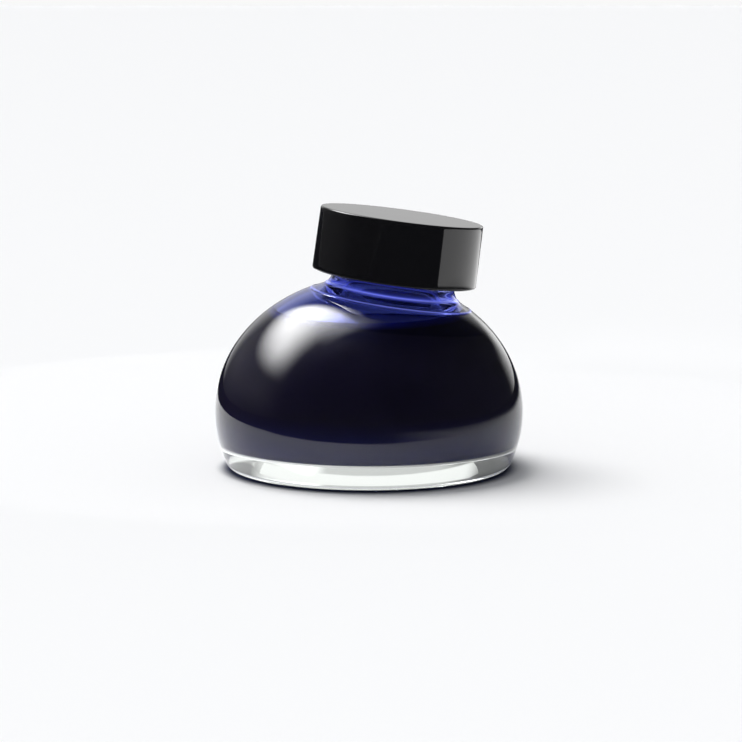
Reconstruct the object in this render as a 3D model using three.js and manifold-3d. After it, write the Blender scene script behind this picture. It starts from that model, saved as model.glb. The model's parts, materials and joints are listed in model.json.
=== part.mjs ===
// Ink bottle: a heavy glass dome with a leaning screw neck, the ink in it, and a plain round
// screw cap that holds a loose two-layer liner.
// Millimetres, +Z up. The origin is the centre of the base, on the table. The neck's axis starts
// at the origin and leans towards +X, and the cap turns and lifts along that axis.
import * as THREE from "three";
import { mergeVertices } from "three/addons/utils/BufferGeometryUtils.js";
import Module from "manifold-3d";

const wasm = await Module();
wasm.setup();

// Glass body
const BODY_RADIUS = 30; // at the widest level
const WIDEST_HEIGHT = 11; // of that level above the table
const DOME_RISE = 26.2; // from that level to where the dome would close
const WALL = 2.8; // glass around the ink
const FLOOR = 4.8; // glass under the ink
const FOOT_CORNER = 2.5; // rounding between the side and the foot
const CAVITY_CORNER = 3; // rounding between the cavity's side and its floor
const CONTACT_WIDTH = 4; // flat ring that stands on the table
const PUSH_UP = 0.8; // hollow inside that ring

// Neck, along its own axis
const LEAN = THREE.MathUtils.degToRad(7.5);
const WAIST_RADIUS = 11.9; // just above the dome
const FINISH_RADIUS = 12.4; // of the wall that carries the thread
const FINISH_FLARE = 0.7; // height over which the waist widens to it
const BORE_RADIUS = 9;
const NECK_HEIGHT = 9.05; // from the dome's crown to the lip
const NECK_BLEND = 2; // how far the concave foot of the neck runs out over the dome
const MOUTH_BLEND = 2.5; // the same, where the cavity turns into the bore
const LIP_ROUND = 0.8;

// Screw thread, one start, right-handed, shared by the neck and the cap
const THREAD_PITCH = 4.233;
const THREAD_DEPTH = 1.2;
const THREAD_ROOT = 2.4; // width at the wall
const THREAD_CREST = 1.2; // width at the top of the ridge
const THREAD_TURNS = 1.15;
const THREAD_BELOW_LIP = 1.4;
const THREAD_RADIAL_GAP = 0.35;
const THREAD_FLANK_GAP = 0.18;
const THREAD_FADE = THREE.MathUtils.degToRad(30); // turn over which each end of a ridge runs out
const THREAD_SUNK = 0.8; // how deep a ridge is set into its wall
const CAP_THREAD_TURNS = 1;
const CAP_THREAD_ABOVE_RIM = 0.3;

// Cap
const CAP_HEIGHT = 12.2;
const CAP_WALL = 2;
const CAP_TOP = 1.6; // thickness over the liner
const CAP_DRAFT = 0.15; // how much smaller the radius is at the top than at the rim
const CAP_EDGE = 0.35; // rounding of the top and bottom edges

// Liner, loose in the cap over the lip
const LINER_BACKING = 0.9;
const LINER_FACING = 0.15;
const LINER_SIDE_GAP = 0.35;
const LINER_GAP = 0.25; // between the layers, and to the lip and the cap

// Ink
const HEADSPACE = 5.4; // from the ink's surface up to the cavity's crown
const INK_GAP = 0.3; // between the ink and the glass

const SIDES = 48; // facets around each round piece
const TURN = 2 * Math.PI;

const outside = { radius: BODY_RADIUS, rise: DOME_RISE, middle: WIDEST_HEIGHT };
const cavity = inset(outside, WALL);
const inkShape = inset(cavity, INK_GAP);

const neckAxis = new THREE.Vector3(Math.sin(LEAN), 0, Math.cos(LEAN));
const neckSide = new THREE.Vector3(Math.cos(LEAN), 0, -Math.sin(LEAN));
const neckFront = new THREE.Vector3(0, 1, 0);

// Distances along the neck's axis, from the origin
const lip = heightOnNeck(outside, 0, 0) + NECK_HEIGHT;
const capUnderside = lip + LINER_FACING + LINER_BACKING + 3 * LINER_GAP;
const capTop = capUnderside + CAP_TOP;
const capRim = capTop - CAP_HEIGHT;
const capBore = FINISH_RADIUS + THREAD_DEPTH + THREAD_RADIAL_GAP;

function inset(ellipsoid, wall) {
  return {
    radius: ellipsoid.radius - wall,
    rise: ellipsoid.rise - wall,
    middle: ellipsoid.middle,
  };
}

// A point in the neck's own frame: radius and turn about its axis, and distance along it.
function onNeck(radius, turn, along) {
  return new THREE.Vector3()
    .addScaledVector(neckSide, radius * Math.cos(turn))
    .addScaledVector(neckFront, radius * Math.sin(turn))
    .addScaledVector(neckAxis, along);
}

// Distance along the neck's axis at which a line beside it leaves the ellipsoid.
function heightOnNeck({ radius, rise, middle }, beside, turn) {
  const shape = new THREE.Vector3(1 / radius, 1 / radius, 1 / rise);
  const start = onNeck(beside, turn, 0)
    .sub(new THREE.Vector3(0, 0, middle))
    .multiply(shape);
  const way = neckAxis.clone().multiply(shape);
  const a = way.lengthSq();
  const b = start.dot(way);
  const c = start.lengthSq() - 1;
  return (Math.sqrt(b * b - a * c) - b) / a;
}

function ring(point) {
  return Array.from({ length: SIDES }, (_, i) => point((TURN * i) / SIDES));
}

function levelRing(radius, height) {
  return ring(
    (turn) =>
      new THREE.Vector3(
        radius * Math.cos(turn),
        radius * Math.sin(turn),
        height,
      ),
  );
}

function neckRing(radius, along) {
  return ring((turn) => onNeck(radius, turn, along));
}

function steps(count, from = 0, to = 1) {
  return Array.from(
    { length: count + 1 },
    (_, i) => from + ((to - from) * i) / count,
  );
}

// The angle on an ellipsoid's outline, below its widest level, where a corner of this radius that
// also touches the floor meets it, and the middle of that corner.
function cornerOf({ radius, rise, middle }, floor, corner) {
  const inward = (angle) => {
    const out = new THREE.Vector2(
      Math.cos(angle) / radius,
      Math.sin(angle) / rise,
    ).normalize();
    return new THREE.Vector2(
      radius * Math.cos(angle) - corner * out.x,
      middle + rise * Math.sin(angle) - corner * out.y,
    );
  };
  let low = -Math.PI / 2;
  let high = 0;
  for (let i = 0; i < 50; i++) {
    const mid = (low + high) / 2;
    if (inward(mid).y > floor + corner) high = mid;
    else low = mid;
  }
  return { angle: low, centre: inward(low) };
}

// Level rings from a flat floor, round its corner and up the ellipsoid's side to a last angle.
function sideRings(ellipsoid, floor, corner, lastAngle, sideSteps) {
  const { angle, centre } = cornerOf(ellipsoid, floor, corner);
  const { radius, rise, middle } = ellipsoid;
  const meets = Math.atan2(Math.sin(angle) / rise, Math.cos(angle) / radius);
  const round = steps(4, -Math.PI / 2, meets).map((a) =>
    levelRing(
      centre.x + corner * Math.cos(a),
      floor + corner + corner * Math.sin(a),
    ),
  );
  const side = steps(sideSteps, angle, lastAngle)
    .slice(1)
    .map((a) =>
      levelRing(radius * Math.cos(a), middle + rise * Math.sin(a)),
    );
  return [...round, ...side];
}

// Where the neck's foot, or the mouth of the bore, runs out on an ellipsoid.
function footRing(ellipsoid, radius) {
  return ring((turn) =>
    onNeck(radius, turn, heightOnNeck(ellipsoid, radius, turn)),
  );
}

// Rings over the ellipsoid from its widest level to the neck's foot, which turn from level to
// square with the neck on the way. Every point lies on the ellipsoid.
function domeRings({ radius, rise, middle }, foot, count) {
  const centre = new THREE.Vector3(0, 0, middle);
  const size = new THREE.Vector3(radius, radius, rise);
  return steps(count)
    .slice(1)
    .map((share) =>
      foot.map((end, i) => {
        const turn = (TURN * i) / SIDES;
        const from = new THREE.Vector3(Math.cos(turn), Math.sin(turn), 0);
        const to = end.clone().sub(centre).divide(size);
        const arc = from.angleTo(to);
        return from
          .multiplyScalar(Math.sin((1 - share) * arc) / Math.sin(arc))
          .addScaledVector(to, Math.sin(share * arc) / Math.sin(arc))
          .multiply(size)
          .add(centre);
      }),
    );
}

// Rings that turn smoothly from the ellipsoid to a cylinder around the neck's axis.
function blendRings(ellipsoid, cylinder, spread, count) {
  const near = 0.01;
  const foot = cylinder + spread;
  return steps(count)
    .slice(1)
    .map((share) =>
      ring((turn) => {
        const start = heightOnNeck(ellipsoid, foot, turn);
        const slope =
          (heightOnNeck(ellipsoid, foot - near, turn) - start) / near;
        const bend = start + slope * spread;
        const reach = Math.hypot(spread, bend - start);
        const curve = new THREE.QuadraticBezierCurve(
          new THREE.Vector2(foot, start),
          new THREE.Vector2(cylinder, bend),
          new THREE.Vector2(cylinder, bend + reach),
        );
        const at = curve.getPoint(share);
        return onNeck(at.x, turn, at.y);
      }),
    );
}

// A quarter round on the neck, from one angle to another about a centre at this radius and height.
function neckRound(centreRadius, along, round, from, to) {
  return steps(3, from, to).map((a) =>
    neckRing(centreRadius + round * Math.cos(a), along + round * Math.sin(a)),
  );
}

// A closed surface through rings, with a point at each end.
function skin(first, rings, last) {
  const points = [first, ...rings.flat(), last].flatMap((p) => p.toArray());
  const index = [];
  const at = (r, i) => 1 + r * SIDES + (i % SIDES);
  const end = 1 + rings.length * SIDES;
  for (let i = 0; i < SIDES; i++) {
    index.push(0, at(0, i + 1), at(0, i));
    for (let r = 0; r < rings.length - 1; r++) {
      index.push(at(r, i), at(r, i + 1), at(r + 1, i + 1));
      index.push(at(r, i), at(r + 1, i + 1), at(r + 1, i));
    }
    index.push(end, at(rings.length - 1, i), at(rings.length - 1, i + 1));
  }
  return new THREE.BufferGeometry()
    .setAttribute("position", new THREE.Float32BufferAttribute(points, 3))
    .setIndex(index);
}

// A profile of [radius, height] turned about +Z.
function turned(profile) {
  const geometry = new THREE.LatheGeometry(
    profile.map(([radius, height]) => new THREE.Vector2(radius, height)),
    SIDES,
  );
  return geometry.rotateX(Math.PI / 2);
}

// Points of a quarter round for such a profile.
function roundPoints(centreRadius, centreHeight, round, from, to) {
  return steps(3, from, to).map((a) => [
    centreRadius + round * Math.cos(a),
    centreHeight + round * Math.sin(a),
  ]);
}

// A screw ridge about +Z. It stands out from a wall of this radius, or in from it if side is -1.
function ridge({ wall, side, start, startTurn, turns }) {
  const sweep = turns * TURN;
  const count = Math.ceil((turns * SIDES * 3) / 4);
  const points = [];
  for (const share of steps(count)) {
    const turn = share * sweep;
    const run = Math.min(turn, sweep - turn, THREAD_FADE) / THREAD_FADE;
    const stand = THREAD_DEPTH * run - 0.1 * (1 - run);
    const height = start + (THREAD_PITCH * turn) / TURN;
    const section = [
      [wall - side * THREAD_SUNK, -THREAD_ROOT / 2],
      [wall, -THREAD_ROOT / 2],
      [wall + side * stand, -THREAD_CREST / 2],
      [wall + side * stand, THREAD_CREST / 2],
      [wall, THREAD_ROOT / 2],
      [wall - side * THREAD_SUNK, THREAD_ROOT / 2],
    ];
    for (const [radius, offset] of section)
      points.push(
        radius * Math.cos(startTurn + turn),
        radius * Math.sin(startTurn + turn),
        height + offset,
      );
  }
  const corners = 6;
  const index = [];
  const face = (a, b, c) => index.push(...(side > 0 ? [a, b, c] : [a, c, b]));
  for (let s = 0; s < count; s++)
    for (let k = 0; k < corners; k++) {
      const a = s * corners + k;
      const b = s * corners + ((k + 1) % corners);
      face(a, a + corners, b + corners);
      face(a, b + corners, b);
    }
  const last = count * corners;
  for (let k = 1; k < corners - 1; k++) {
    face(0, k, k + 1);
    face(last, last + k + 1, last + k);
  }
  return new THREE.BufferGeometry()
    .setAttribute("position", new THREE.Float32BufferAttribute(points, 3))
    .setIndex(index);
}

function solid(geometry) {
  const plain = geometry.clone();
  plain.deleteAttribute("normal");
  plain.deleteAttribute("uv");
  const merged = mergeVertices(plain, 1e-4);
  return new wasm.Manifold(
    new wasm.Mesh({
      numProp: 3,
      vertProperties: new Float32Array(merged.attributes.position.array),
      triVerts: new Uint32Array(merged.index.array),
    }),
  );
}

function geometryOf(made) {
  const { vertProperties, triVerts } = made.getMesh();
  return new THREE.BufferGeometry()
    .setAttribute("position", new THREE.BufferAttribute(vertProperties, 3))
    .setIndex(new THREE.BufferAttribute(triVerts, 1));
}

// The neck's own frame as a rotation, for pieces that are made about +Z.
function leaning(geometry) {
  return geometry.rotateY(LEAN);
}

// The middle of the neck's ridge at its lower end, and the turn at which it starts.
const ridgeTop = lip - THREAD_BELOW_LIP - THREAD_ROOT / 2;
const ridgeStart = ridgeTop - THREAD_TURNS * THREAD_PITCH;
const ridgeTurn = -2.6;

function glassBottle() {
  const { centre } = cornerOf(outside, 0, FOOT_CORNER);
  const hollow = centre.x - CONTACT_WIDTH;
  const base = [0.5, 0.8, 0.95, 1].map((share) =>
    levelRing(hollow * share, PUSH_UP * (1 - share * share)),
  );
  const side = sideRings(outside, 0, FOOT_CORNER, 0, 3);
  const dome = domeRings(
    outside,
    footRing(outside, WAIST_RADIUS + NECK_BLEND),
    11,
  );
  const foot = blendRings(outside, WAIST_RADIUS, NECK_BLEND, 4);
  const footTop = Math.max(...foot.at(-1).map((p) => p.dot(neckAxis)));
  const lipRound = lip - LIP_ROUND;
  const finish = [
    neckRing(FINISH_RADIUS, footTop + FINISH_FLARE),
    ...neckRound(FINISH_RADIUS - LIP_ROUND, lipRound, LIP_ROUND, 0, TURN / 4),
    ...neckRound(BORE_RADIUS + LIP_ROUND, lipRound, LIP_ROUND, TURN / 4, TURN / 2),
  ];
  const mouth = blendRings(cavity, BORE_RADIUS, MOUTH_BLEND, 4).reverse();
  const inside = [
    footRing(cavity, BORE_RADIUS + MOUTH_BLEND),
    ...domeRings(cavity, footRing(cavity, BORE_RADIUS + MOUTH_BLEND), 9)
      .slice(0, -1)
      .reverse(),
    ...sideRings(cavity, FLOOR, CAVITY_CORNER, 0, 3).reverse(),
  ];
  const blank = solid(
    skin(
      new THREE.Vector3(0, 0, PUSH_UP),
      [...base, ...side, ...dome, ...foot, ...finish, ...mouth, ...inside],
      new THREE.Vector3(0, 0, FLOOR),
    ),
  );
  const thread = ridge({
    wall: FINISH_RADIUS,
    side: 1,
    start: ridgeStart,
    startTurn: ridgeTurn,
    turns: THREAD_TURNS,
  });
  return geometryOf(blank.add(solid(leaning(thread))));
}

function ink() {
  const level = cavity.middle + cavity.rise - HEADSPACE;
  const lastAngle = Math.asin((level - inkShape.middle) / inkShape.rise);
  return skin(
    new THREE.Vector3(0, 0, FLOOR + INK_GAP),
    sideRings(inkShape, FLOOR + INK_GAP, CAVITY_CORNER - INK_GAP, lastAngle, 9),
    new THREE.Vector3(0, 0, level),
  );
}

function cap() {
  const rim = capBore + CAP_WALL;
  const crown = rim - CAP_DRAFT;
  const blank = solid(
    turned([
      [0, capUnderside],
      [capBore, capUnderside],
      [capBore, capRim],
      ...roundPoints(rim - CAP_EDGE, capRim + CAP_EDGE, CAP_EDGE, -TURN / 4, 0),
      ...roundPoints(crown - CAP_EDGE, capTop - CAP_EDGE, CAP_EDGE, 0, TURN / 4),
      [0, capTop],
    ]),
  );
  // The ridges touch flank to flank where both stand out to the middle of their depth.
  const flank = (THREAD_ROOT + THREAD_CREST) / 2 + THREAD_FLANK_GAP;
  const start = capRim + CAP_THREAD_ABOVE_RIM + THREAD_ROOT / 2;
  const behind = ((start + flank - ridgeStart) / THREAD_PITCH) * TURN;
  const thread = ridge({
    wall: capBore,
    side: -1,
    start,
    startTurn: ridgeTurn + behind,
    turns: CAP_THREAD_TURNS,
  });
  return geometryOf(blank.add(solid(thread)));
}

function disc(radius, low, high) {
  return turned([
    [0, low],
    [radius, low],
    [radius, high],
    [0, high],
  ]);
}

function part(name, geometry, finish) {
  const mesh = new THREE.Mesh(geometry, new THREE.MeshStandardMaterial(finish));
  mesh.name = name;
  return mesh;
}

const linerRadius = capBore - LINER_SIDE_GAP;
const facingLow = lip + LINER_GAP;
const backingLow = facingLow + LINER_FACING + LINER_GAP;

const onLeaningNeck = new THREE.Group();
onLeaningNeck.rotation.y = LEAN;
onLeaningNeck.add(
  part("cap", cap(), { color: 0x141417, roughness: 0.12, metalness: 0 }),
  part("liner_backing", disc(linerRadius, backingLow, backingLow + LINER_BACKING), {
    color: 0xe6e4dc,
    roughness: 0.85,
    metalness: 0,
  }),
  part("liner_facing", disc(linerRadius, facingLow, facingLow + LINER_FACING), {
    color: 0xf2f2f0,
    roughness: 0.35,
    metalness: 0,
  }),
);

const inkBottle = new THREE.Group();
inkBottle.add(
  part("glass_bottle", glassBottle(), {
    color: 0xf4faf8,
    roughness: 0.02,
    metalness: 0,
    transparent: true,
    opacity: 0.35,
  }),
  part("ink", ink(), { color: 0x0d0b24, roughness: 0.1, metalness: 0 }),
  onLeaningNeck,
);

export default inkBottle;
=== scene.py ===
"""Ink bottle: a heavy glass dome of dark blue ink with a leaning neck and a black screw cap.

Every piece is built in metres in the frame of the packed model: +Z up, the origin at the centre
of the base. The neck's axis starts at the origin and leans towards +X.
"""

import json
import math
from collections import namedtuple

import bpy
import numpy as np
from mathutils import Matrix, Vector, noise


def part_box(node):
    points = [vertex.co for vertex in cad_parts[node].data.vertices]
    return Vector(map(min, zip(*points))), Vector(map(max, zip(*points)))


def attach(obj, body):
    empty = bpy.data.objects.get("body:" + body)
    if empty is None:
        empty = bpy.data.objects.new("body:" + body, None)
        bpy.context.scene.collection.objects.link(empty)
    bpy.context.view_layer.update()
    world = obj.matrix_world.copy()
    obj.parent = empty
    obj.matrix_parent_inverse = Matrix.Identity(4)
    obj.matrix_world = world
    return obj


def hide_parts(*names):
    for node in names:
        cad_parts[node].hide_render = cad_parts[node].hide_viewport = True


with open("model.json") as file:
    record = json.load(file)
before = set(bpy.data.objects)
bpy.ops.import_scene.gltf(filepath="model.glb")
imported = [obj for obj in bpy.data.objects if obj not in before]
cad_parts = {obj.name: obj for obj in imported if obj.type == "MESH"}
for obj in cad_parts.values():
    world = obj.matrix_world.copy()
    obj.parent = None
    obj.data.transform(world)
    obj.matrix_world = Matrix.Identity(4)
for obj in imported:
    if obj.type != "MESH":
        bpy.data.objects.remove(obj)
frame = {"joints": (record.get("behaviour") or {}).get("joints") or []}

bl_info = {
    "name": "Ink bottle",
    "version": (1, 0, 0),
    "blender": (4, 5, 0),
    "location": "3D View > Sidebar > Ink bottle",
    "description": "Builds a glass ink bottle with its ink, cap and liner around the packed model",
    "category": "Add Mesh",
}

MM = 0.001
TURN = 2 * math.pi
SIDES = 256  # steps around each round piece
DOME_STEPS = 150  # over the outside of the dome, fine enough for the thin rings on it
CAVITY_STEPS = 40  # over the inside of the dome
THREAD_STEPS = 72  # along each threaded wall
RIDGE_TURN = -2.6  # where the neck's ridge starts
GLASS_IOR = 1.5
PLASTIC_IOR = 1.5
INK_IN_GLASS_IOR = 1.13

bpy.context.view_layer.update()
NECK_AXIS = Vector(frame["joints"][0]["axis"]).normalized()


# ---------------------------------------------------------------------------------------------
# Sizes and colours
# ---------------------------------------------------------------------------------------------


def length(name, description, default_mm):
    """A size in metres, given in millimetres."""
    return bpy.props.FloatProperty(
        name=name,
        description=description,
        default=default_mm * MM,
        min=0.0,
        soft_max=0.2,
        precision=5,
        unit="LENGTH",
    )


def colour(name, description, default):
    """A linear colour."""
    return bpy.props.FloatVectorProperty(
        name=name,
        description=description,
        default=default,
        size=len(default),
        min=0.0,
        max=1.0,
        subtype="COLOR",
    )


def amount(name, description, default, top=1.0):
    """A plain number."""
    return bpy.props.FloatProperty(
        name=name, description=description, default=default, min=0.0, soft_max=top
    )


def half_width(node):
    """Half of a packed node's width along Y, in millimetres."""
    low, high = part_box(node)
    return (high.y - low.y) / 2 / MM


class InkBottleGlass(bpy.types.PropertyGroup):
    """Sizes and colours of the glass."""

    body_radius: length("Body radius", "At the widest level", half_width("glass_bottle"))
    widest_height: length("Widest height", "Of that level above the table", 11)
    dome_rise: length("Dome rise", "From that level to where the dome would close", 26.2)
    wall: length("Wall", "Glass around the ink", 2.8)
    floor: length("Floor", "Glass under the ink", 4.8)
    foot_corner: length("Foot corner", "Rounding between side and foot", 2.5)
    cavity_corner: length("Cavity corner", "Rounding at the cavity's floor", 3)
    contact_width: length("Contact width", "Flat ring that stands on the table", 4)
    push_up: length("Push-up", "Depth of the hollow inside that ring", 0.8)
    waist_radius: length("Waist radius", "Of the neck just above the dome", 11.9)
    finish_radius: length("Finish radius", "Of the wall that carries the thread", 12.4)
    finish_flare: length("Finish flare", "Height over which the waist widens", 0.7)
    bore_radius: length("Bore radius", "Inside the neck", 9)
    neck_height: length("Neck height", "From the dome's crown to the lip", 9.05)
    neck_blend: length("Neck blend", "Reach of the neck's concave foot", 2)
    mouth_blend: length("Mouth blend", "Reach of the bore's flare inside", 2.5)
    lip_round: length("Lip round", "Rounding of the lip", 0.8)
    waver: length("Waver", "How far the glass strays from its true shape", 0.02)
    seam: length("Seam", "Height of the thin rings around the neck's foot", 0.09)
    tint: colour("Glass tint", "Colour of the clear glass", (0.955, 0.99, 0.96))
    stain: colour("Ink stain", "Glass above the ink, seen from outside", (0.12, 0.15, 0.52))
    film: colour("Ink film", "Inside of the glass, wetted by ink", (0.16, 0.19, 0.36))
    # Painted highlight: a lighter blue along thin lines near the neck, for light led through the
    # glass, not a thinner ink film.
    painted_light_line: colour("Painted light line", "Where the ink film is drawn thin", (0.55, 0.6, 1.0))
    # Painted glow: the glass glows faintly along the painted light lines, though it is no lamp.
    painted_glow: colour("Caught light", "Light led to the neck's edges", (0.1, 0.12, 0.48))


class InkBottleThread(bpy.types.PropertyGroup):
    """Sizes of the screw thread that the neck and the cap share."""

    pitch: length("Pitch", "Rise in one turn", 4.233)
    depth: length("Depth", "Of each ridge", 1.2)
    root: length("Root", "Width of a ridge at its wall", 2.4)
    crest: length("Crest", "Width at the top of a ridge", 1.2)
    below_lip: length("Below lip", "Plain stretch under the lip", 1.4)
    radial_gap: length("Radial gap", "Between a crest and the other wall", 0.35)
    flank_gap: length("Flank gap", "Between the flanks", 0.18)
    neck_turns: amount("Neck turns", "Length of the neck's ridge, in turns", 1.15, 4)
    cap_turns: amount("Cap turns", "Length of the cap's ridge, in turns", 1.0, 4)
    above_rim: length("Above rim", "Plain stretch above the cap's rim", 0.3)
    fade: amount("Fade", "Turn over which a ridge's end runs out", 30 / 360)


class InkBottleCap(bpy.types.PropertyGroup):
    """Sizes and colours of the cap and its liner."""

    height: length("Height", "From rim to top", 12.2)
    wall: length("Wall", "Thickness of the side", 2)
    top: length("Top", "Thickness over the liner", 1.6)
    draft: length("Draft", "How much smaller the radius is at the top", 0.15)
    edge: length("Edge", "Rounding of the outside edges", 0.35)
    backing: length("Backing", "Thickness of the liner's foam", 0.9)
    facing: length("Facing", "Thickness of the liner's film", 0.15)
    side_gap: length("Side gap", "Between the liner and the cap", 0.35)
    liner_gap: length("Liner gap", "Between the layers, the lip and the cap", 0.25)
    black: colour("Plastic", "The cap's plastic", (0.0055, 0.0055, 0.0065))
    foam: colour("Foam", "The liner's foam", (0.8, 0.79, 0.75))
    film: colour("Film", "The liner's film", (0.85, 0.85, 0.84))


class InkBottleInk(bpy.types.PropertyGroup):
    """Level and colours of the ink."""

    wetting: length("Wetting", "How far the ink runs into the glass, so no air is between", 0.03)
    meniscus: length("Meniscus", "Rise of the ink where it meets the glass", 0.35)
    depth_colour: colour("Ink", "Deep ink behind glass", (0.0085, 0.0065, 0.024))
    # Also used, at half strength low in the ink, as painted light coming up through the clear
    # foot.
    thin_edge_and_painted_foot_light: colour("Thin ink", "Ink at its thin upper edge", (0.012, 0.02, 0.2))


class InkBottleStage(bpy.types.PropertyGroup):
    """Floor, lights and camera."""

    camera_distance: length("Camera distance", "From the bottle's axis", 500)
    camera_height: length("Camera height", "Above the table", 90)
    camera_lens: amount("Lens", "Focal length in millimetres", 125.9, 300)
    paper: colour("Paper", "Background", (0.94, 0.94, 0.94))
    floor: colour("Floor", "Paper of the floor before it is lit", (0.9, 0.9, 0.9))
    floor_drop: bpy.props.FloatProperty(
        name="Floor drop",
        description="Height of the floor: a hair under the foot, so that air is between",
        default=-0.02 * MM,
        unit="LENGTH",
        precision=6,
    )
    key: amount("Key", "Strength of the soft key light", 2.42, 10)
    fill: amount("Fill", "Strength of the even soft light", 0.385, 2)
    soft_box: amount("Soft box", "Brightness of its reflection", 17, 50)
    room: amount("Room", "Brightness of the dark room", 0.03)


# ---------------------------------------------------------------------------------------------
# Geometry
# ---------------------------------------------------------------------------------------------

Ellipsoid = namedtuple("Ellipsoid", "radius rise middle")
TURNS = np.arange(SIDES) * TURN / SIDES
UP = np.array(NECK_AXIS)
ACROSS = np.array((NECK_AXIS.z, 0.0, -NECK_AXIS.x))
BACK = np.array((0.0, 1.0, 0.0))


def inset(shape, wall):
    """The ellipsoid one wall further in."""
    return Ellipsoid(shape.radius - wall, shape.rise - wall, shape.middle)


def on_neck(radius, along, turns=TURNS):
    """Points at a radius and a turn about the neck's axis, and a distance along it."""
    radius = np.broadcast_to(radius, turns.shape)[:, None]
    along = np.broadcast_to(along, turns.shape)[:, None]
    flat = np.cos(turns)[:, None] * ACROSS + np.sin(turns)[:, None] * BACK
    return radius * flat + along * UP


def height_on_neck(shape, beside, turns=TURNS):
    """Distance along the neck's axis at which lines beside it leave the ellipsoid."""
    scale = 1 / np.array((shape.radius, shape.radius, shape.rise))
    start = (on_neck(beside, 0.0, turns) - np.array((0, 0, shape.middle))) * scale
    way = UP * scale
    a = way @ way
    b = start @ way
    c = (start * start).sum(axis=1) - 1
    return (np.sqrt(b * b - a * c) - b) / a


def level_ring(radius, height, turns=TURNS):
    """A ring about the vertical."""
    flat = radius * np.stack((np.cos(turns), np.sin(turns)), axis=1)
    return np.column_stack((flat, np.full(len(turns), height)))


def shares(count, start=0.0, end=1.0):
    """Evenly spaced values, both ends included."""
    return [start + (end - start) * i / count for i in range(count + 1)]


def corner_of(shape, floor, corner):
    """Where a corner that touches a flat floor and the ellipsoid's side meets that side."""

    def inward(angle):
        out = np.array((math.cos(angle) / shape.radius, math.sin(angle) / shape.rise))
        out /= np.linalg.norm(out)
        side = np.array((
            shape.radius * math.cos(angle),
            shape.middle + shape.rise * math.sin(angle),
        ))
        return side - corner * out

    low, high = -math.pi / 2, 0.0
    for _ in range(60):
        middle = (low + high) / 2
        if inward(middle)[1] > floor + corner:
            high = middle
        else:
            low = middle
    return low, inward(low)


def side_rings(shape, floor, corner, last_angle, steps):
    """Level rings from a flat floor, round its corner and up the ellipsoid's side."""
    angle, centre = corner_of(shape, floor, corner)
    meets = math.atan2(
        math.sin(angle) / shape.rise, math.cos(angle) / shape.radius
    )
    rings = [
        level_ring(
            centre[0] + corner * math.cos(a), floor + corner + corner * math.sin(a)
        )
        for a in shares(12, -math.pi / 2, meets)
    ]
    for a in shares(steps, angle, last_angle)[1:]:
        rings.append(
            level_ring(
                shape.radius * math.cos(a), shape.middle + shape.rise * math.sin(a)
            )
        )
    return rings


def dome_rings(shape, foot, steps):
    """Rings over the ellipsoid that turn from level to square with the neck."""
    centre = np.array((0, 0, shape.middle))
    size = np.array((shape.radius, shape.radius, shape.rise))
    start = level_ring(1.0, 0.0)
    end = (foot - centre) / size
    arc = np.arccos(np.clip((start * end).sum(axis=1), -1, 1))[:, None]
    rings = []
    for share in shares(steps)[1:]:
        point = start * np.sin((1 - share) * arc) + end * np.sin(share * arc)
        rings.append(point / np.sin(arc) * size + centre)
    return rings


def foot_ring(shape, radius):
    """Where a cylinder around the neck's axis leaves the ellipsoid."""
    return on_neck(radius, height_on_neck(shape, radius))


def blend_rings(shape, cylinder, spread, steps):
    """Rings that turn smoothly from the ellipsoid to a cylinder around the neck's axis."""
    near = 0.01 * MM
    foot = cylinder + spread
    start = height_on_neck(shape, foot)
    slope = (height_on_neck(shape, foot - near) - start) / near
    bend = start + slope * spread
    reach = np.hypot(spread, bend - start)
    rings = []
    for share in shares(steps)[1:]:
        a, b, c = (1 - share) ** 2, 2 * share * (1 - share), share**2
        radius = a * foot + (b + c) * cylinder
        along = a * start + b * bend + c * (bend + reach)
        rings.append(on_neck(radius, along))
    return rings


def neck_round(centre_radius, along, corner, start, end, steps=8):
    """Rings of a quarter round about the neck's axis."""
    return [
        on_neck(
            centre_radius + corner * math.cos(a), along + corner * math.sin(a)
        )
        for a in shares(steps, start, end)
    ]


def smooth(x):
    """A smooth step from 0 to 1."""
    x = np.clip(x, 0.0, 1.0)
    return x * x * (3 - 2 * x)


def ridge(thread, turns, along, start, start_turn, length_turns):
    """How far a screw ridge stands out at these turns and distances along the axis."""
    stand = np.zeros(turns.shape)
    sweep = length_turns * TURN
    for lap in range(-1, int(length_turns) + 2):
        turn = (turns - start_turn) % TURN + lap * TURN
        middle = start + thread.pitch * turn / TURN
        fade = smooth(np.minimum(turn, sweep - turn) / (thread.fade * TURN))
        off = np.abs(along - middle)
        width = (thread.root - thread.crest) / 2
        rise = smooth(1 - (off - thread.crest / 2) / width)
        stand = np.maximum(stand, thread.depth * rise * fade)
    return stand


def skin(name, rings, first=None, last=None):
    """A closed mesh through rings of points, with a point at each end."""
    points = [first, *(p for r in rings for p in r), last]
    count = len(rings)
    around = np.arange(SIDES)
    after = (around + 1) % SIDES
    faces = [(0, 1 + int(b), 1 + int(a)) for a, b in zip(around, after)]
    for r in range(count - 1):
        low, high = 1 + r * SIDES, 1 + (r + 1) * SIDES
        faces += [
            (low + int(a), low + int(b), high + int(b), high + int(a))
            for a, b in zip(around, after)
        ]
    end, top = len(points) - 1, 1 + (count - 1) * SIDES
    faces += [(end, top + int(a), top + int(b)) for a, b in zip(around, after)]
    mesh = bpy.data.meshes.new(name)
    mesh.from_pydata([tuple(float(x) for x in p) for p in points], [], faces)
    mesh.polygons.foreach_set("use_smooth", [True] * len(faces))
    mesh.update()
    made = bpy.data.objects.new(name, mesh)
    bpy.context.scene.collection.objects.link(made)
    return made


def places_of(mesh):
    """The mesh's vertices as an array of points."""
    places = np.empty(len(mesh.vertices) * 3)
    mesh.vertices.foreach_get("co", places)
    return places.reshape(-1, 3)


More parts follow.
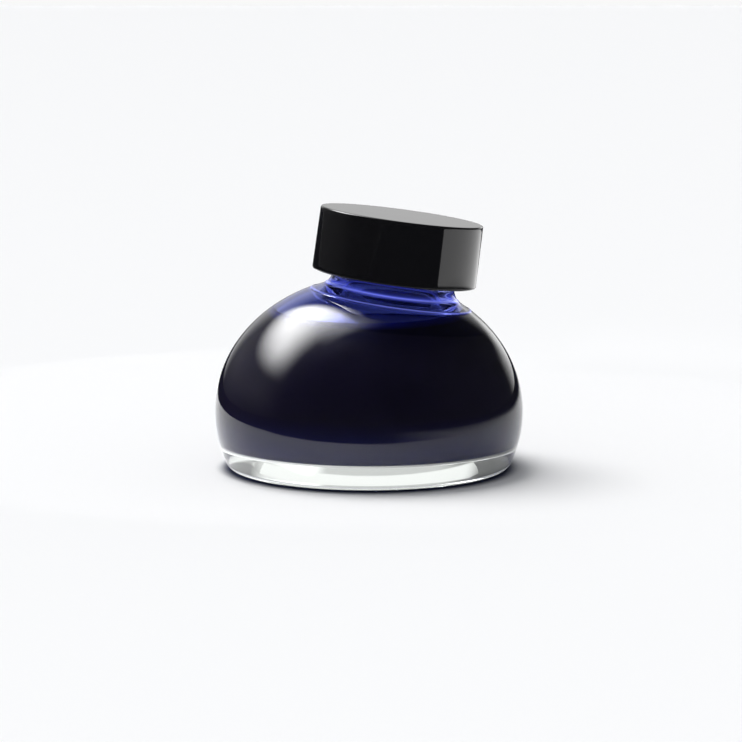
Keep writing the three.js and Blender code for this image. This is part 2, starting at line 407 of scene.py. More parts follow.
def beside_neck(places):
    """Distance of points from the neck's axis."""
    return np.linalg.norm(places - (places @ UP)[:, None] * UP, axis=1)


def mark(made, name, values):
    """Stores one value per vertex, for the material to read."""
    layer = made.data.attributes.new(name, "FLOAT", "POINT")
    layer.data.foreach_set("value", values)


def mark_rings(made, name, amounts):
    """Stores one value per ring on a mesh made by skin."""
    mark(made, name, np.concatenate(([amounts[0]], np.repeat(amounts, SIDES), [amounts[-1]])))


def pushed_out(made, how_far):
    """Moves each vertex along its normal by how_far(places), an array of distances."""
    mesh = made.data
    places = places_of(mesh)
    normals = np.empty(places.size)
    mesh.vertex_normals.foreach_get("vector", normals)
    places = places + normals.reshape(-1, 3) * how_far(places)[:, None]
    mesh.vertices.foreach_set("co", places.ravel())
    mesh.update()


def waver(places, size):
    """Gentle unevenness, from -1 to 1."""
    return np.array([noise.noise(Vector(place / size)) for place in places])


def seam(beside, radius, width):
    """A thin raised ring around the neck's axis, from 0 to 1."""
    return smooth(1 - np.abs(beside - radius) / width)


def outer_dome(glass):
    """The glass's outside."""
    return Ellipsoid(glass.body_radius, glass.dome_rise, glass.widest_height)


def lip_height(glass):
    """Distance along the neck's axis from the origin to the lip."""
    crown = height_on_neck(outer_dome(glass), 0.0, np.zeros(1))[0]
    return crown + glass.neck_height


def ridge_start(glass, thread):
    """The middle of the neck's ridge at its lower end."""
    top = lip_height(glass) - thread.below_lip - thread.root / 2
    return top - thread.neck_turns * thread.pitch


# ---------------------------------------------------------------------------------------------
# Materials
# ---------------------------------------------------------------------------------------------


def new_material(name):
    """A material with an empty Principled shader, its nodes and its links."""
    material = bpy.data.materials.new(name)
    material.use_nodes = True
    nodes = material.node_tree.nodes
    return material, nodes, material.node_tree.links, nodes["Principled BSDF"]


def surface_grain():
    """A shader group: fine height and a soft mask that change over a moulded surface."""
    name = "surface grain"
    if name in bpy.data.node_groups:
        return bpy.data.node_groups[name]
    group = bpy.data.node_groups.new(name, "ShaderNodeTree")
    face = group.interface
    for label, default in (("Fine scale", 4000.0), ("Broad scale", 90.0)):
        socket = face.new_socket(label, in_out="INPUT", socket_type="NodeSocketFloat")
        socket.default_value = default
    face.new_socket("Height", in_out="OUTPUT", socket_type="NodeSocketFloat")
    face.new_socket("Mask", in_out="OUTPUT", socket_type="NodeSocketFloat")
    nodes, links = group.nodes, group.links
    inside = nodes.new("NodeGroupInput")
    outside = nodes.new("NodeGroupOutput")
    place = nodes.new("ShaderNodeTexCoord")
    for scale, detail, output in (
        ("Fine scale", 3.0, "Height"),
        ("Broad scale", 5.0, "Mask"),
    ):
        cloud = nodes.new("ShaderNodeTexNoise")
        cloud.inputs["Detail"].default_value = detail
        links.new(place.outputs["Object"], cloud.inputs["Vector"])
        links.new(inside.outputs[scale], cloud.inputs["Scale"])
        links.new(cloud.outputs["Fac"], outside.inputs[output])
    return group


def grain(nodes, fine, broad):
    """The grain group, placed in a material with its own scales."""
    node = nodes.new("ShaderNodeGroup")
    node.node_tree = surface_grain()
    node.inputs["Fine scale"].default_value = fine
    node.inputs["Broad scale"].default_value = broad
    return node


def span(nodes, links, source, low, high):
    """Turns a 0 to 1 mask into a value between low and high."""
    node = nodes.new("ShaderNodeMapRange")
    node.inputs["To Min"].default_value = low
    node.inputs["To Max"].default_value = high
    links.new(source, node.inputs["Value"])
    return node.outputs["Result"]


def bump(nodes, links, height, distance, shader):
    """Feeds a height to a shader's normal."""
    node = nodes.new("ShaderNodeBump")
    node.inputs["Distance"].default_value = distance
    links.new(height, node.inputs["Height"])
    links.new(node.outputs["Normal"], shader.inputs["Normal"])


def tinted(nodes, links, mask, first, second):
    """Mixes two colours by a mask; the first is a colour or a socket."""
    mix = nodes.new("ShaderNodeMix")
    mix.data_type = "RGBA"
    if isinstance(first, bpy.types.NodeSocket):
        links.new(first, mix.inputs["A"])
    else:
        mix.inputs["A"].default_value = (*first, 1)
    mix.inputs["B"].default_value = (*second, 1)
    links.new(mask, mix.inputs["Factor"])
    return mix.outputs["Result"]


def attribute(nodes, name):
    """A value stored on the vertices."""
    node = nodes.new("ShaderNodeAttribute")
    node.attribute_name = name
    return node.outputs["Fac"]


def glass_material(glass):
    """Clear pressed glass. The stain value is 1 on the outside above the ink and 2 on the inside
    that the ink wets; the painted light line value marks thin lines with a painted highlight and
    glow."""
    material, nodes, links, shader = new_material("bottle_glass")
    shader.inputs["Transmission Weight"].default_value = 1
    shader.inputs["IOR"].default_value = GLASS_IOR
    shader.inputs["Roughness"].default_value = 0
    cloud = grain(nodes, 700, 60)
    stain = attribute(nodes, "stain")
    streak = span(nodes, links, cloud.outputs["Mask"], 0.85, 1.1)
    streaky = math_node(nodes, links, "MULTIPLY", stain, streak)
    streaky.node.use_clamp = True
    outer_film = tinted(nodes, links, streaky, glass.tint, glass.stain)
    inside = ramp(nodes, links, stain, 1, 2, 0, 1)
    both = tinted(nodes, links, inside, outer_film, glass.film)
    # Painted highlight: the glass is tinted a lighter blue along the painted light lines.
    line = attribute(nodes, "painted_light_line")
    links.new(tinted(nodes, links, line, both, glass.painted_light_line), shader.inputs["Base Color"])
    # Painted glow: emission along the same lines, standing in for light led to the neck's edges.
    caught = tinted(nodes, links, line, (0, 0, 0), glass.painted_glow)
    links.new(caught, shader.inputs["Emission Color"])
    shader.inputs["Emission Strength"].default_value = 1
    bump(nodes, links, cloud.outputs["Mask"], 0.02 * MM, shader)
    return material


def ink_material(ink, floor, level):
    """Deep ink against the glass, bluer at its thin upper edge and, as painted light from the
    clear foot, towards its floor. Light that meets its flat bottom at a slant from inside the
    glass is reflected whole, so the bottom is a mirror at a slant."""
    material, nodes, links, shader = new_material("ink_liquid")
    place = nodes.new("ShaderNodeTexCoord")
    axes = nodes.new("ShaderNodeSeparateXYZ")
    links.new(place.outputs["Object"], axes.inputs["Vector"])
    height = axes.outputs["Z"]
    edge = nodes.new("ShaderNodeMapRange")
    edge.inputs["From Min"].default_value = level - 0.7 * MM
    edge.inputs["From Max"].default_value = level + 0.2 * MM
    links.new(height, edge.inputs["Value"])
    # Painted light: bluer towards the ink's floor, standing in for light that comes up through the
    # clear foot.
    foot = ramp(nodes, links, height, floor, floor + 9 * MM, 0.5, 0)
    rim = math_node(nodes, links, "MAXIMUM", edge.outputs["Result"], foot)
    colour_out = tinted(nodes, links, rim, ink.depth_colour, ink.thin_edge_and_painted_foot_light)
    slant = nodes.new("ShaderNodeLayerWeight")
    mirror = product(
        nodes,
        links,
        ramp(nodes, links, slant.outputs["Facing"], 0.5, 0.56, 0, 1),
        ramp(nodes, links, height, floor + 0.2 * MM, floor + 0.9 * MM, 1, 0),
    )
    silver = tinted(nodes, links, mirror, colour_out, (0.97, 0.98, 0.98))
    links.new(silver, shader.inputs["Base Color"])
    links.new(mirror, shader.inputs["Metallic"])
    cloud = grain(nodes, 300, 40)
    rough = span(nodes, links, cloud.outputs["Mask"], 0.25, 0.35)
    smoother = nodes.new("ShaderNodeMapRange")
    links.new(mirror, smoother.inputs["Value"])
    links.new(rough, smoother.inputs["To Min"])
    smoother.inputs["To Max"].default_value = 0.02
    links.new(smoother.outputs["Result"], shader.inputs["Roughness"])
    shader.inputs["IOR"].default_value = INK_IN_GLASS_IOR
    return material


def clouded(name, fine, broad, first, second, roughness):
    """A material whose colour and roughness drift over the surface, and its grain."""
    material, nodes, links, shader = new_material(name)
    cloud = grain(nodes, fine, broad)
    mask = cloud.outputs["Mask"]
    links.new(tinted(nodes, links, mask, first, second), shader.inputs["Base Color"])
    links.new(span(nodes, links, mask, *roughness), shader.inputs["Roughness"])
    return material, nodes, links, shader, cloud


def cap_material(cap):
    """Black polished plastic with faint polishing marks."""
    lighter = tuple(1.25 * c for c in cap.black)
    material, nodes, links, shader, cloud = clouded(
        "cap_plastic", 2600, 130, cap.black, lighter, (0.03, 0.06)
    )
    shader.inputs["IOR"].default_value = PLASTIC_IOR
    bump(nodes, links, cloud.outputs["Height"], 0.0015 * MM, shader)
    return material


def foam_material(cap):
    """Closed-cell foam with small cells."""
    material, nodes, links, shader = new_material("liner_foam")
    cells = nodes.new("ShaderNodeTexVoronoi")
    cells.inputs["Scale"].default_value = 3500
    cloud = grain(nodes, 2000, 200)
    darker = tuple(0.85 * c for c in cap.foam)
    colour_out = tinted(nodes, links, cloud.outputs["Mask"], cap.foam, darker)
    links.new(colour_out, shader.inputs["Base Color"])
    shader.inputs["Roughness"].default_value = 0.85
    bump(nodes, links, cells.outputs["Distance"], 0.06 * MM, shader)
    return material


def film_material(cap):
    """Thin white film, a little uneven."""
    darker = tuple(0.93 * c for c in cap.film)
    material, nodes, links, shader, cloud = clouded(
        "liner_film", 1500, 150, cap.film, darker, (0.28, 0.42)
    )
    bump(nodes, links, cloud.outputs["Height"], 0.01 * MM, shader)
    return material


# ---------------------------------------------------------------------------------------------
# Operators
# ---------------------------------------------------------------------------------------------


class INKBOTTLE_OT_glass(bpy.types.Operator):
    """Build the glass bottle: thick foot, dome, leaning neck, thread and lip"""

    bl_idname = "ink_bottle.glass"
    bl_label = "Glass bottle"

    def execute(self, context):
        glass = context.scene.ink_bottle_glass
        thread = context.scene.ink_bottle_thread
        outside = outer_dome(glass)
        cavity = inset(outside, glass.wall)
        lip = lip_height(glass)
        _, corner = corner_of(outside, 0.0, glass.foot_corner)
        hollow = corner[0] - glass.contact_width

        rings = [
            level_ring(hollow * s, glass.push_up * (1 - smooth(np.array(s)) ** 2))
            for s in shares(24)[1:]
        ]
        rings += side_rings(outside, 0.0, glass.foot_corner, 0.0, 14)
        foot = foot_ring(outside, glass.waist_radius + glass.neck_blend)
        rings += dome_rings(outside, foot, DOME_STEPS)
        rings += blend_rings(outside, glass.waist_radius, glass.neck_blend, 24)

        start = rings[-1] @ UP
        end = lip - glass.lip_round
        flare = start.max()
        for share in shares(THREAD_STEPS)[1:-1]:
            along = start + (end - start) * share
            widen = smooth((along - flare) / glass.finish_flare)
            radius = glass.waist_radius + widen * (
                glass.finish_radius - glass.waist_radius
            )
            radius = radius + ridge(
                thread,
                TURNS,
                along,
                ridge_start(glass, thread),
                RIDGE_TURN,
                thread.neck_turns,
            )
            rings.append(on_neck(radius, along))
        rings += neck_round(
            glass.finish_radius - glass.lip_round, end, glass.lip_round, 0, TURN / 4
        )
        rings += neck_round(
            glass.bore_radius + glass.lip_round, end, glass.lip_round, TURN / 4, TURN / 2
        )
        wetted_from = len(rings)
        mouth = blend_rings(cavity, glass.bore_radius, glass.mouth_blend, 16)
        bore_end = mouth[-1] @ UP
        for share in shares(8)[1:-1]:
            rings.append(on_neck(glass.bore_radius, end + (bore_end - end) * share))
        rings += mouth[::-1]
        mouth_foot = foot_ring(cavity, glass.bore_radius + glass.mouth_blend)
        rings += dome_rings(cavity, mouth_foot, CAVITY_STEPS)[::-1]
        wetted_to = len(rings)
        rings += side_rings(cavity, glass.floor, glass.cavity_corner, 0.0, 14)[::-1]

        bottle = skin("bottle", rings, (0, 0, glass.push_up), (0, 0, glass.floor))
        stains = np.zeros(len(rings))
        stains[wetted_from:wetted_to] = 2
        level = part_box("ink")[1].z
        heights = np.array([ring[:, 2].mean() for ring in rings[:wetted_from]])
        stains[:wetted_from] = smooth((heights - level) / (0.5 * MM) + 0.5)
        mark_rings(bottle, "stain", stains)
        outer = np.arange(len(bottle.data.vertices)) <= wetted_from * SIDES

        def uneven(places):
            beside = beside_neck(places)
            on_shoulder = outer & (places[:, 2] > level)
            seams = sum(
                seam(beside, radius, width)
                for radius, width in (
                    (glass.waist_radius + 3.7 * MM, 0.4 * MM),
                    (glass.waist_radius + 1.1 * MM, 0.35 * MM),
                )
            )
            return glass.waver * waver(places, 9 * MM) + glass.seam * seams * on_shoulder

        # Marks the thin lines near the neck that are painted a lighter blue and made to glow: a
        # painted highlight, not a thin ink film.
        def painted_light_line(places):
            beside = beside_neck(places)
            neck_foot = glass.waist_radius + glass.neck_blend
            near_neck = smooth((places @ UP - level) / (2 * MM))
            outside_lines = sum(
                seam(beside, neck_foot + out, width)
                for out, width in ((1.7 * MM, 0.36 * MM), (-1.1 * MM, 0.3 * MM))
            )
            inside_line = seam(beside, glass.bore_radius + 0.5 * MM, 0.5 * MM)
            return near_neck * np.where(outer, outside_lines, inside_line)

        mark(bottle, "painted_light_line", painted_light_line(places_of(bottle.data)))
        pushed_out(bottle, uneven)
        bottle.data.materials.append(glass_material(glass))
        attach(bottle, "bottle")
        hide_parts("glass_bottle")
        return {"FINISHED"}


class INKBOTTLE_OT_ink(bpy.types.Operator):
    """Fill the bottle with ink up to the packed model's level"""

    bl_idname = "ink_bottle.ink"
    bl_label = "Ink"

    def execute(self, context):
        glass = context.scene.ink_bottle_glass
        ink = context.scene.ink_bottle_ink
        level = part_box("ink")[1].z
        shape = inset(outer_dome(glass), glass.wall - ink.wetting)
        brim = level + ink.meniscus
        last_angle = math.asin((brim - shape.middle) / shape.rise)
        corner = glass.cavity_corner + ink.wetting
        floor = glass.floor - ink.wetting
        rings = side_rings(shape, floor, corner, last_angle, 60)
        edge = shape.radius * math.cos(last_angle)
        for share in shares(30)[1:-1]:
            radius = edge * (1 - share**2)
            rise = ink.meniscus * math.exp(-(edge - radius) / (0.6 * MM))
            rings.append(level_ring(radius, level + rise))
        liquid = skin("ink_fill", rings, (0, 0, floor), (0, 0, level))
        liquid.data.materials.append(ink_material(ink, floor, level))
        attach(liquid, "bottle")
        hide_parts("ink")
        return {"FINISHED"}


class INKBOTTLE_OT_cap(bpy.types.Operator):
    """Build the screw cap with its inside thread"""

    bl_idname = "ink_bottle.cap"
    bl_label = "Screw cap"

    def execute(self, context):
        glass = context.scene.ink_bottle_glass
        thread = context.scene.ink_bottle_thread
        cap = context.scene.ink_bottle_cap
        bore = glass.finish_radius + thread.depth + thread.radial_gap
        underside = lip_height(glass) + cap.facing + cap.backing + 3 * cap.liner_gap
        top = underside + cap.top
        rim = top - cap.height
        outer = bore + cap.wall
        crown = outer - cap.draft
        edge = cap.edge

        rings = [on_neck((crown - edge) * s, top) for s in shares(20)[1:]]
        rings += neck_round(crown - edge, top - edge, edge, TURN / 4, 0)[1:]
        for share in shares(16)[1:-1]:
            along = top - edge + (rim + 2 * edge - top) * share
            rings.append(on_neck(crown + cap.draft * share, along))
        rings += neck_round(outer - edge, rim + edge, edge, 0, -TURN / 4)
        lead = 0.3 * MM
        rings += neck_round(bore + lead, rim + lead, lead, -TURN / 4, -TURN / 2)
        start = rim + thread.above_rim + thread.root / 2
        flank = (thread.root + thread.crest) / 2 + thread.flank_gap
        behind = (start + flank - ridge_start(glass, thread)) / thread.pitch * TURN
        low, high = rim + lead, underside - 0.4 * MM
        for share in shares(THREAD_STEPS)[1:]:
            along = np.full(SIDES, low + (high - low) * share)
            stand = ridge(
                thread, TURNS, along, start, RIDGE_TURN + behind, thread.cap_turns
            )
            rings.append(on_neck(bore - stand, along))
        fillet = 0.4 * MM
        for angle in shares(6, 0, TURN / 4)[1:]:
            rings.append(
                on_neck(
                    bore - fillet + fillet * math.cos(angle),
                    high + fillet * math.sin(angle),
                )
            )
        rings += [on_neck((bore - fillet) * (1 - s), underside) for s in shares(12)[1:-1]]
        moulding = skin("screw_cap", rings, tuple(top * UP), tuple(underside * UP))
        moulding.data.materials.append(cap_material(cap))
        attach(moulding, "cap")
        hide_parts("cap")
        return {"FINISHED"}


class INKBOTTLE_OT_liner(bpy.types.Operator):
    """Build the liner's foam backing and its film facing"""

    bl_idname = "ink_bottle.liner"
    bl_label = "Liner"

    def execute(self, context):
        glass = context.scene.ink_bottle_glass
        thread = context.scene.ink_bottle_thread
        cap = context.scene.ink_bottle_cap
        bore = glass.finish_radius + thread.depth + thread.radial_gap
        radius = bore - cap.side_gap
        facing_low = lip_height(glass) + cap.liner_gap
        backing_low = facing_low + cap.facing + cap.liner_gap
        for name, low, thick, material, slot, node in (
            (
                "liner_film_disc",
                facing_low,
                cap.facing,
                film_material(cap),
                "liner_film",
                "liner_facing",
            ),
            (
                "liner_foam_disc",
                backing_low,
                cap.backing,
                foam_material(cap),
                "liner_foam",
                "liner_backing",
            ),
        ):
            edge = thick * 0.3
            high = low + thick
            rings = [on_neck((radius - edge) * s, low) for s in shares(16)[1:]]
            rings += neck_round(radius - edge, low + edge, edge, -TURN / 4, 0, 5)[1:]
            rings += neck_round(radius - edge, high - edge, edge, 0, TURN / 4, 5)
            rings += [on_neck((radius - edge) * (1 - s), high) for s in shares(16)[1:-1]]
            disc = skin(name, rings, tuple(low * UP), tuple(high * UP))
            disc.data.materials.append(material)
            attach(disc, "liner")
            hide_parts(node)
        return {"FINISHED"}


# ---------------------------------------------------------------------------------------------
# Stage
# ---------------------------------------------------------------------------------------------


def direction(azimuth, elevation):
    """A unit vector; azimuth 0 points to the camera and grows towards +X, in degrees."""
    a, e = math.radians(azimuth), math.radians(elevation)
    return Vector((math.sin(a) * math.cos(e), -math.cos(a) * math.cos(e), math.sin(e)))


def only_for(thing, **seen):
    """Sets which rays see a stage piece; those not named don't."""
    for kind in ("camera", "diffuse", "glossy", "transmission", "shadow", "volume_scatter"):
        setattr(thing, "visible_" + kind, seen.get(kind, False))


def flat_piece(name, points, faces):
    """A stage piece made of flat faces."""
    mesh = bpy.data.meshes.new(name)
    mesh.from_pydata(points, [], faces)
    made = bpy.data.objects.new(name, mesh)
    bpy.context.scene.collection.objects.link(made)
    return made


def paper_floor(stage):
    """A plain pale floor, so wide that its far edge is the horizon. It is darker where the bottle
    stands
    close over it: a painted contact shadow in dark blue."""
    lines = (-60.0, -0.3, 0.3, 60.0)
    count = len(lines)
    corners = [count * j + i for j in range(count - 1) for i in range(count - 1)]
    made = flat_piece(
        "floor",
        [(x, y, stage.floor_drop) for y in lines for x in lines],
        [(c, c + 1, c + count + 1, c + count) for c in corners],
    )
    material, nodes, links, shader = new_material("paper")
    # Painted contact shadow: the floor's colour turns dark blue where little open air is within 4
    # mm.
    nearness = nodes.new("ShaderNodeAmbientOcclusion")
    nearness.inputs["Distance"].default_value = 4 * MM
    open_air = ramp(nodes, links, nearness.outputs["AO"], 0.25, 0.75, 0, 1)
    painted_contact_shadow = tinted(nodes, links, open_air, (0.03, 0.037, 0.085), stage.floor)
    links.new(painted_contact_shadow, shader.inputs["Base Color"])
    shader.inputs["Roughness"].default_value = 0.9
    shader.inputs["Specular IOR Level"].default_value = 0.1
    made.data.materials.append(material)


def soft_sun(name, aim, strength, spread):
    """A far soft light, so it lights the whole floor evenly."""
    data = bpy.data.lights.new(name, "SUN")
    data.energy = strength
    data.angle = math.radians(spread)
    made = bpy.data.objects.new(name, data)
    bpy.context.scene.collection.objects.link(made)
    made.rotation_mode = "QUATERNION"
    made.rotation_quaternion = aim.to_track_quat("Z", "Y")
    only_for(made, diffuse=True, transmission=True, shadow=True)


def ramp(nodes, links, source, low, high, first, last):
    """A smooth step of a value from first at low to last at high."""
    node = nodes.new("ShaderNodeMapRange")
    node.interpolation_type = "SMOOTHSTEP"
    node.inputs["From Min"].default_value = low
    node.inputs["From Max"].default_value = high
    node.inputs["To Min"].default_value = first
    node.inputs["To Max"].default_value = last
    links.new(source, node.inputs["Value"])
    return node.outputs["Result"]


def math_node(nodes, links, operation, first, second=None):
    """A math node; the second input is a socket or a number."""
    node = nodes.new("ShaderNodeMath")
    node.operation = operation
    links.new(first, node.inputs[0])
    if isinstance(second, (int, float)):
        node.inputs[1].default_value = second
    elif second is not None:
        links.new(second, node.inputs[1])
    return node.outputs["Value"]


def product(nodes, links, *values):
    """Multiplies values."""
    result = values[0]
    for value in values[1:]:
        result = math_node(nodes, links, "MULTIPLY", result, value)
    return result


def towards(nodes, links, ray, aim):
    """How far a ray points along a direction, from -1 to 1."""
    node = nodes.new("ShaderNodeVectorMath")
    node.operation = "DOT_PRODUCT"
    node.inputs[1].default_value = aim
    links.new(ray, node.inputs[0])
    return node.outputs["Value"]


def studio_world(stage):
    """Paper to the camera, an even soft light on matt things, and to reflections a dark room
    with a soft box at the upper left, a pale backdrop and a window. Light seen through the glass
    comes from a bright band behind it. Angles are in degrees: aside to the right of straight
    back, elevation above level."""
    world = bpy.data.worlds.new("studio")
    bpy.context.scene.world = world
    world.use_nodes = True
    nodes, links = world.node_tree.nodes, world.node_tree.links
    nodes.clear()

    place = nodes.new("ShaderNodeTexCoord")
    ray = place.outputs["Generated"]
    axes = nodes.new("ShaderNodeSeparateXYZ")
    links.new(ray, axes.inputs["Vector"])
    high = math_node(nodes, links, "ARCSINE", axes.outputs["Z"])
    elevation = math_node(nodes, links, "MULTIPLY", high, 360 / TURN)
    across = math_node(nodes, links, "ARCTAN2", axes.outputs["X"], axes.outputs["Y"])
    aside = math_node(nodes, links, "MULTIPLY", across, 360 / TURN)

    def patch(*fades):
        """A part of the room: the product of smooth steps (of what, low, high, first, last)."""
        return product(nodes, links, *(ramp(nodes, links, *fade) for fade in fades))

    left_edge = towards(nodes, links, ray, direction(-65, 0))
    right_edge = towards(nodes, links, ray, direction(-156, 0))
    box = patch(
        (left_edge, -0.03, 0.07, 0, 1),
        (right_edge, 0.1, 0.58, 0, 1),
        (elevation, 24, 47, 0, stage.soft_box),
        (elevation, 66, 84, 1, 0),
    )
    above = patch(
        (left_edge, -0.25, 0.3, 0, 1),
        (right_edge, 0.0, 0.2, 0, 1),
        (elevation, 60, 80, 0, 0.3 * stage.soft_box),
    )
    low = patch(
        (left_edge, -0.1, 0.2, 0, 1),
        (right_edge, 0.0, 0.5, 0, 1),
        (elevation, -2, 16, 0.03, 0.25),
    )
    backdrop = patch(
        (aside, -34, -17, 0, 1),
        (aside, 17, 34, 1, 0),
        (elevation, 22, 40, 0.85 * stage.paper[0], 0),
    )
    window = patch(
        (aside, 10, 16, 0, 1),
        (aside, 30, 46, 1, 0),
        (elevation, 7, 16, 1.2, 0),
    )
    total = math_node(nodes, links, "ADD", box, stage.room)
    for more in (above, low, backdrop, window):
        total = math_node(nodes, links, "ADD", total, more)

    out = nodes.new("ShaderNodeOutputWorld")
    room = nodes.new("ShaderNodeBackground")
    plain = nodes.new("ShaderNodeBackground")
    plain.inputs["Color"].default_value = (*stage.paper, 1)
    soft = nodes.new("ShaderNodeBackground")
    soft.inputs["Color"].default_value = (0.97, 0.99, 1.03, 1)
    soft.inputs["Strength"].default_value = stage.fill
    path = nodes.new("ShaderNodeLightPath")
    lower = ramp(nodes, links, elevation, 9.7, 10.7, 0.33, 1.3)
    upper = ramp(nodes, links, elevation, 14.5, 18, 0, -0.65)
    bands = math_node(nodes, links, "ADD", lower, upper)
    through = product(
        nodes,
        links,
        ramp(nodes, links, aside, -42, -28, 0, 1),
        ramp(nodes, links, aside, 110, 130, 1, 0),
        ramp(nodes, links, elevation, 40, 60, 1, 0),
        bands,
    )
    behind_glass = math_node(nodes, links, "MAXIMUM", total, through)
    glossy, refracted = path.outputs["Is Glossy Ray"], path.outputs["Is Transmission Ray"]
    seen = nodes.new("ShaderNodeMix")
    links.new(refracted, seen.inputs["Factor"])
    links.new(total, seen.inputs["A"])
    links.new(behind_glass, seen.inputs["B"])
    links.new(seen.outputs["Result"], room.inputs["Strength"])
    shiny = math_node(nodes, links, "MAXIMUM", glossy, refracted)
    first = nodes.new("ShaderNodeMixShader")
    links.new(shiny, first.inputs["Fac"])
    links.new(soft.outputs["Background"], first.inputs[1])
    links.new(room.outputs["Background"], first.inputs[2])
    second = nodes.new("ShaderNodeMixShader")
    links.new(path.outputs["Is Camera Ray"], second.inputs["Fac"])
    links.new(first.outputs["Shader"], second.inputs[1])
    links.new(plain.outputs["Background"], second.inputs[2])
    links.new(second.outputs["Shader"], out.inputs["Surface"])


def card_nodes(name, middle, height):
    """An empty material, the point on its surface, and how far that is from a point."""
    material = bpy.data.materials.new(name)
    material.use_nodes = True
    nodes, links = material.node_tree.nodes, material.node_tree.links
    nodes.clear()
    place = nodes.new("ShaderNodeTexCoord").outputs["Object"]
    shift = nodes.new("ShaderNodeVectorMath")
    shift.operation = "SUBTRACT"
    shift.inputs[1].default_value = (*middle, height)
    links.new(place, shift.inputs[0])
    away = nodes.new("ShaderNodeVectorMath")
    away.operation = "LENGTH"
    links.new(shift.outputs["Vector"], away.inputs[0])
    return material, nodes, links, place, away.outputs["Value"]


def finish_card(made, material, mask, first, second):
    """Mixes two shaders by a mask on a card that only reflections see."""
    nodes, links = material.node_tree.nodes, material.node_tree.links
    mix = nodes.new("ShaderNodeMixShader")
    links.new(mask, mix.inputs["Fac"])
    links.new(first, mix.inputs[1])
    links.new(second, mix.inputs[2])
    out = nodes.new("ShaderNodeOutputMaterial")
    links.new(mix.outputs["Shader"], out.inputs["Surface"])
    made.data.materials.append(material)
    only_for(made, glossy=True)


def dark_floor(name, middle, radius, height, lift_left):
    """Darkens the floor in reflections, except around the bottle, where the paper shows. The
    bright patch's edge is sharp, but soft on the right; its left is lifted by a faint glow."""
    reach = 40.0
    made = flat_piece(
        name,
        [(x * reach, y * reach, height) for x, y in ((-1, -1), (1, -1), (1, 1), (-1, 1))],
        [(0, 1, 2, 3)],
    )
    material, nodes, links, place, far = card_nodes(name, middle, height)
    axes = nodes.new("ShaderNodeSeparateXYZ")
    links.new(place, axes.inputs["Vector"])
    sideways = axes.outputs["X"]
    blend = nodes.new("ShaderNodeMix")
    links.new(ramp(nodes, links, sideways, 10 * MM, 70 * MM, 0, 1), blend.inputs["Factor"])
    links.new(ramp(nodes, links, far, radius, radius + 5 * MM, 0, 1), blend.inputs["A"])
    links.new(ramp(nodes, links, far, radius * 0.7, radius * 1.8, 0, 1), blend.inputs["B"])
    clear = nodes.new("ShaderNodeBsdfTransparent")
    lift = nodes.new("ShaderNodeEmission")
    glow = ramp(nodes, links, sideways, -20 * MM, 40 * MM, lift_left, 0)
    links.new(glow, lift.inputs["Strength"])
    lifted = nodes.new("ShaderNodeAddShader")
    links.new(clear.outputs["BSDF"], lifted.inputs[0])
    links.new(lift.outputs["Emission"], lifted.inputs[1])
    black = nodes.new("ShaderNodeBsdfDiffuse")
    black.inputs["Color"].default_value = (0.012, 0.012, 0.014, 1)
    dark = black.outputs["BSDF"]
    finish_card(made, material, blend.outputs["Result"], lifted.outputs["Shader"], dark)


def glow_sector(name, middle, start, end, near, far, height, glow, slant_limit):
    """A glowing louvred card on the floor between two azimuths and two distances. It is seen
    only in reflections and from well above, so by the cap and hardly by the glass."""
    steps = 48
    points = []
    for radius in (near, far):
        for azimuth in shares(steps, start, end):
            aim = direction(azimuth, 0) * radius
            points.append((middle[0] + aim.x, middle[1] + aim.y, height))
    faces = [(i, steps + 1 + i, steps + 2 + i, i + 1) for i in range(steps)]
    made = flat_piece(name, points, faces)
    material, nodes, links, _, away = card_nodes(name, middle, height)
    slant = nodes.new("ShaderNodeLayerWeight").outputs["Facing"]
    louvre = ramp(nodes, links, slant, slant_limit - 0.02, slant_limit, 1, 0)
    rise = ramp(nodes, links, away, near, near * 1.35, 0, glow)
    shine = nodes.new("ShaderNodeEmission")
    links.new(product(nodes, links, rise, louvre), shine.inputs["Strength"])
    clear = nodes.new("ShaderNodeBsdfTransparent")
    lit = shine.outputs["Emission"]
    finish_card(made, material, louvre, clear.outputs["BSDF"], lit)


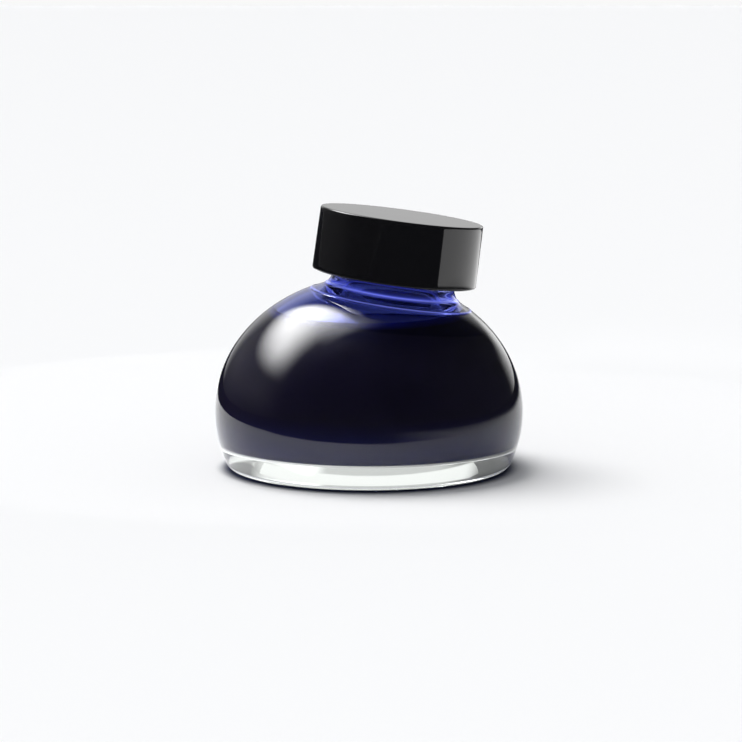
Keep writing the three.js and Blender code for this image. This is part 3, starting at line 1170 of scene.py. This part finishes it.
class INKBOTTLE_OT_stage(bpy.types.Operator):
    """Set up the pale floor, the soft light and the camera"""

    bl_idname = "ink_bottle.stage"
    bl_label = "Stage"

    def execute(self, context):
        stage = context.scene.ink_bottle_stage
        context.scene.view_settings.view_transform = "Standard"
        paper_floor(stage)
        studio_world(stage)
        soft_sun("key", direction(-126, 68), stage.key, 36)
        dark_floor("dark_floor", (0, 60 * MM), 117 * MM, 0.4 * MM, 0.4)
        cap_foot = (5 * MM, 0)
        glow_sector("right_card", cap_foot, 60, 165, 140 * MM, 0.7, 0.8 * MM, 1.5, 0.89)
        glow_sector("left_card", cap_foot, -168, -125, 300 * MM, 1.0, 0.8 * MM, 0.6, 0.935)

        data = bpy.data.cameras.new("camera")
        data.sensor_width = 36
        data.lens = stage.camera_lens
        camera = bpy.data.objects.new("camera", data)
        context.scene.collection.objects.link(camera)
        camera.location = (0, -stage.camera_distance, stage.camera_height)
        aim = Vector((0.45 * MM, 0, 18.84 * MM))
        camera.rotation_mode = "QUATERNION"
        camera.rotation_quaternion = (aim - camera.location).to_track_quat("-Z", "Y")
        context.scene.camera = camera
        return {"FINISHED"}


class INKBOTTLE_PT_panel(bpy.types.Panel):
    """Lists the pieces and their sizes"""

    bl_idname = "INKBOTTLE_PT_panel"
    bl_label = "Ink bottle"
    bl_space_type = "VIEW_3D"
    bl_region_type = "UI"
    bl_category = "Ink bottle"

    def draw(self, context):
        for operator in OPERATORS:
            self.layout.operator(operator.bl_idname)
        for group in GROUPS:
            box = self.layout.box()
            box.label(text=group.__doc__)
            settings = getattr(context.scene, GROUPS[group])
            for name in group.__annotations__:
                box.prop(settings, name)


GROUPS = {
    InkBottleGlass: "ink_bottle_glass",
    InkBottleThread: "ink_bottle_thread",
    InkBottleCap: "ink_bottle_cap",
    InkBottleInk: "ink_bottle_ink",
    InkBottleStage: "ink_bottle_stage",
}
OPERATORS = (
    INKBOTTLE_OT_stage,
    INKBOTTLE_OT_glass,
    INKBOTTLE_OT_ink,
    INKBOTTLE_OT_cap,
    INKBOTTLE_OT_liner,
)


def register():
    for kind in (*GROUPS, *OPERATORS, INKBOTTLE_PT_panel):
        bpy.utils.register_class(kind)
    for group, name in GROUPS.items():
        setattr(bpy.types.Scene, name, bpy.props.PointerProperty(type=group))


def unregister():
    for name in GROUPS.values():
        delattr(bpy.types.Scene, name)
    for kind in reversed((*GROUPS, *OPERATORS, INKBOTTLE_PT_panel)):
        bpy.utils.unregister_class(kind)


def main():
    register()
    for operator in OPERATORS:
        group, name = operator.bl_idname.split(".")
        getattr(getattr(bpy.ops, group), name)()


if __name__ == "__main__":
    main()
